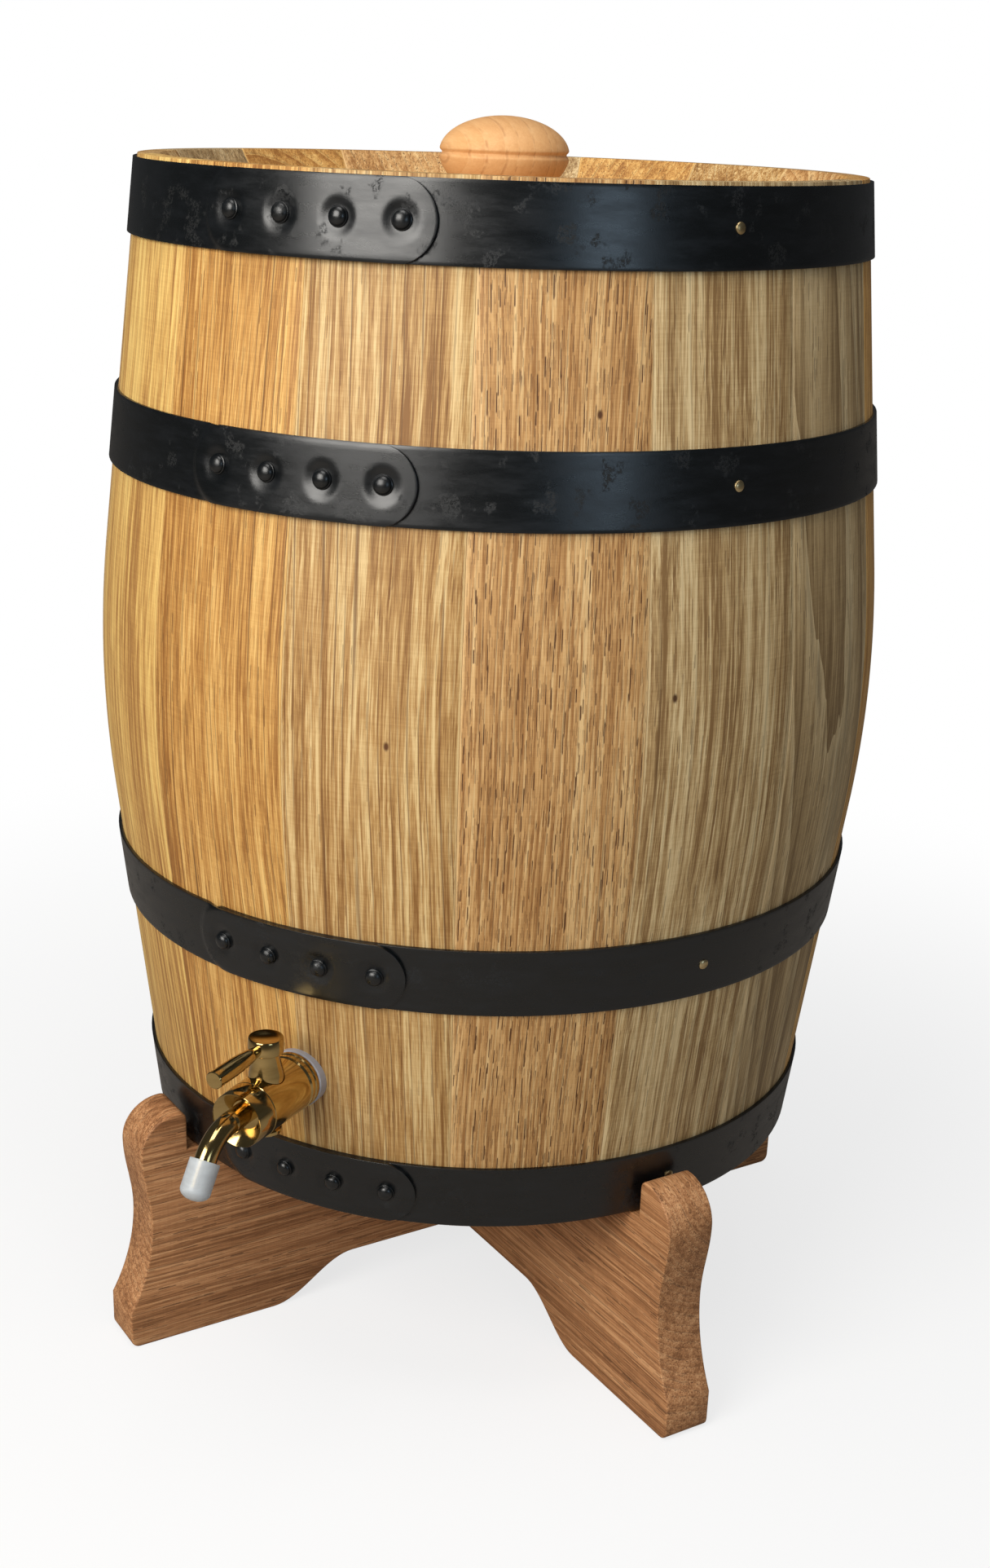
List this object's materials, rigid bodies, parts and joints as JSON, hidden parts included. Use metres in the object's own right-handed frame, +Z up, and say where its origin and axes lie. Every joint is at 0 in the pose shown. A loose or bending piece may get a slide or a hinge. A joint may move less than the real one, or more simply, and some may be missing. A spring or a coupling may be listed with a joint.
{
  "type": "oak wine barrel",
  "caption": "Small upright oak wine barrel with black riveted hoops, a turned bung and a brass-coloured tap, resting on a crossed oak stand.",
  "frame": {"origin": "on the floor, under the middle of the whole object", "axes": "+Z up, -Y the way the tap points, +X to the right when looking at the tap"},
  "size_m": [0.342, 0.409, 0.5325],
  "materials": {
    "oak_staves": "planed and lightly oiled",
    "oak_heads": "planed and lightly oiled",
    "oak_stand": "planed and oiled",
    "dowel_wood": "plain",
    "bung_wood": "turned and sanded",
    "hoop_black": "satin black",
    "rivet_black": "satin black",
    "nail_brass": "plain",
    "tap_gold": "polished",
    "washer_silicone": "matt",
    "cap_silicone": "milky",
    "ring_rubber": "matt"
  },
  "bodies": {
    "stand": {"stand_board_lower": "oak_stand", "stand_board_upper": "oak_stand"},
    "barrel": {"stave_01": "oak_staves", "stave_02": "oak_staves", "stave_03": "oak_staves", "stave_04": "oak_staves", "stave_05": "oak_staves", "stave_06": "oak_staves", "stave_07": "oak_staves", "stave_08": "oak_staves", "stave_09": "oak_staves", "stave_10": "oak_staves", "stave_11": "oak_staves", "stave_12": "oak_staves", "stave_13": "oak_staves", "stave_14": "oak_staves", "stave_15": "oak_staves", "top_head_board_1": "oak_heads", "top_head_board_2": "oak_heads", "top_head_board_3": "oak_heads", "top_head_board_4": "oak_heads", "top_head_board_5": "oak_heads", "bottom_head_board_1": "oak_heads", "bottom_head_board_2": "oak_heads", "bottom_head_board_3": "oak_heads", "bottom_head_board_4": "oak_heads", "bottom_head_board_5": "oak_heads", "top_head_dowels": "dowel_wood", "bottom_head_dowels": "dowel_wood", "bottom_chime_hoop": "hoop_black", "bottom_bilge_hoop": "hoop_black", "top_bilge_hoop": "hoop_black", "top_chime_hoop": "hoop_black", "bottom_chime_rivets": "rivet_black", "bottom_bilge_rivets": "rivet_black", "top_bilge_rivets": "rivet_black", "top_chime_rivets": "rivet_black", "bottom_chime_nails": "nail_brass", "bottom_bilge_nails": "nail_brass", "top_bilge_nails": "nail_brass", "top_chime_nails": "nail_brass", "tap_body": "tap_gold", "outer_washer": "washer_silicone", "inner_washer": "washer_silicone", "lock_nut": "tap_gold", "spout_collar": "tap_gold", "spout_tube": "tap_gold"},
    "bung": {"bung": "bung_wood"},
    "tap_handle": {"valve_plug": "tap_gold", "valve_rings": "ring_rubber", "valve_screw": "tap_gold", "tap_knob": "tap_gold", "tap_lever": "tap_gold"},
    "spout_cap": {"spout_cap": "cap_silicone"}
  },
  "joints": [
    {"name": "barrel_lift", "type": "slide", "parent": "stand", "child": "barrel", "axis": [0, 0, 1], "range_m": [0, 0.06]},
    {"name": "bung_pull", "type": "slide", "parent": "barrel", "child": "bung", "axis": [0, 0, 1], "range_m": [0, 0.06]},
    {"name": "lever_turn", "type": "hinge", "parent": "barrel", "child": "tap_handle", "pos_m": [0, -0.14901, 0.1597], "axis": [0, 0, 1], "range_deg": [0, 90]},
    {"name": "cap_pull", "type": "slide", "parent": "barrel", "child": "spout_cap", "axis": [0, -0.5736, -0.8192], "range_m": [0, 0.018]}
  ]
}
